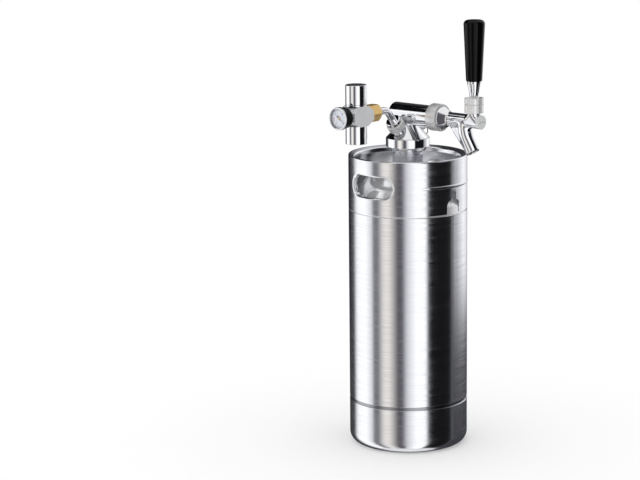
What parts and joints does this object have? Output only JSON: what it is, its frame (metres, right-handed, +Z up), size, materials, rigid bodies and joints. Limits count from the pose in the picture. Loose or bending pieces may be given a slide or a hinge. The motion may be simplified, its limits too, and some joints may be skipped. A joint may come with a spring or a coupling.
{
  "type": "mini keg beer dispenser",
  "caption": "Stainless mini keg with a screw-on tap head, spring-free ball-lever faucet, gas regulator with gauge and cartridge socket, and a pull-ring relief valve.",
  "frame": {"origin": "the keg's axis at the plane it stands on", "axes": "+Z up along the keg, +X the way the tap pours, the pressure gauge faces -Y"},
  "size_m": [0.1711, 0.1821, 0.4828],
  "materials": {
    "keg_steel": "polished",
    "tap_chrome": "mirror",
    "satin_steel": "satin",
    "block_satin": "bead blasted",
    "nut_brass": "machined",
    "grip_black": "gloss",
    "gauge_black": "gloss",
    "bezel_steel": "polished",
    "dial_white": "matte",
    "window_glass": "clear",
    "needle_black": "matte",
    "inner_brass": "machined",
    "spring_steel": "drawn wire",
    "seal_rubber": "matte",
    "seal_white": "matte",
    "filter_bronze": "sintered"
  },
  "bodies": {
    "keg": {"keg_wall": "keg_steel", "top_dome": "keg_steel", "bottom_dome": "keg_steel", "foot_ring": "keg_steel", "handle_ring": "keg_steel", "keg_neck": "keg_steel"},
    "head": {"neck_seal": "seal_rubber", "head_flange": "satin_steel", "tap_head": "tap_chrome", "dip_tube": "satin_steel", "dip_tube_oring": "seal_rubber", "coupling_washer": "seal_rubber", "retaining_ring": "spring_steel", "faucet_body": "tap_chrome", "faucet_end_cap": "satin_steel", "bonnet": "satin_steel", "bonnet_lock_ring": "satin_steel", "ball_washer": "seal_white", "regulator_block": "block_satin", "regulator_bonnet": "tap_chrome", "diaphragm": "seal_rubber", "diaphragm_plate": "inner_brass", "spring_button": "inner_brass", "pressure_spring": "spring_steel", "poppet": "inner_brass", "poppet_seat": "seal_white", "cartridge_socket": "tap_chrome", "cartridge_seal": "seal_white", "piercing_pin": "spring_steel", "inlet_filter": "filter_bronze", "gauge_case": "gauge_black", "gauge_bezel": "bezel_steel", "gauge_glass": "window_glass", "gauge_dial": "dial_white", "bourdon_tube": "inner_brass", "movement_bridge": "inner_brass", "gauge_stem": "inner_brass", "regulator_outlet": "inner_brass", "elbow_tube": "tap_chrome", "gas_washer": "seal_white", "check_valve": "seal_rubber", "relief_body": "satin_steel", "relief_cap": "satin_steel", "relief_spring": "spring_steel"},
    "cap": {"cap_nut": "tap_chrome"},
    "coupling": {"coupling_ring": "satin_steel"},
    "lever": {"tap_lever": "tap_chrome", "handle_ferrule": "tap_chrome", "handle_grip": "grip_black"},
    "plunger": {"plunger_shaft": "satin_steel", "seat_washer": "seal_rubber", "shaft_nut": "satin_steel"},
    "knob": {"adjusting_knob": "tap_chrome"},
    "needle": {"gauge_needle": "needle_black"},
    "line_nut": {"brass_nut": "nut_brass"},
    "gas_nut": {"gas_nut": "satin_steel"},
    "relief": {"relief_stem": "satin_steel", "pull_ring": "spring_steel"}
  },
  "joints": [
    {"name": "head_lift", "type": "slide", "parent": "keg", "child": "head", "axis": [0, 0, 1], "range_m": [0, 0.34]},
    {"name": "cap_turn", "type": "hinge", "parent": "head", "child": "cap", "pos_m": [0, 0, 0.34], "axis": [0, 0, 1], "continuous": true},
    {"name": "coupling_turn", "type": "hinge", "parent": "head", "child": "coupling", "pos_m": [0.0428, 0, 0.3723], "axis": [1, 0, 0], "continuous": true},
    {"name": "lever_pull", "type": "hinge", "parent": "head", "child": "lever", "pos_m": [0.0935, 0, 0.39], "axis": [0, 1, 0], "range_deg": [0, 22]},
    {"name": "plunger_slide", "type": "slide", "parent": "head", "child": "plunger", "axis": [-1, 0, 0], "range_m": [0, 0.0072]},
    {"name": "knob_turn", "type": "hinge", "parent": "head", "child": "knob", "pos_m": [0, -0.0863, 0.398], "axis": [0, 0, -1], "range_deg": [0, 540]},
    {"name": "needle_turn", "type": "hinge", "parent": "head", "child": "needle", "pos_m": [0, -0.1134, 0.3802], "axis": [0, 1, 0], "range_deg": [0, 200]},
    {"name": "line_nut_turn", "type": "hinge", "parent": "head", "child": "line_nut", "pos_m": [0, -0.062, 0.3802], "axis": [0, 1, 0], "continuous": true},
    {"name": "gas_nut_turn", "type": "hinge", "parent": "head", "child": "gas_nut", "pos_m": [0, -0.01988, 0.36158], "axis": [0, 0.6428, -0.766], "continuous": true},
    {"name": "relief_pull", "type": "slide", "parent": "head", "child": "relief", "axis": [0, 0.9903, 0.1392], "range_m": [0, 0.0015], "stiffness_N_per_m": 1200, "springref_m": -0.001}
  ],
  "couplings": [
    {"joint": "plunger_slide", "follows": "lever_pull", "m_per_rad": 0.0183},
    {"joint": "needle_turn", "follows": "knob_turn", "ratio": 0.37}
  ]
}
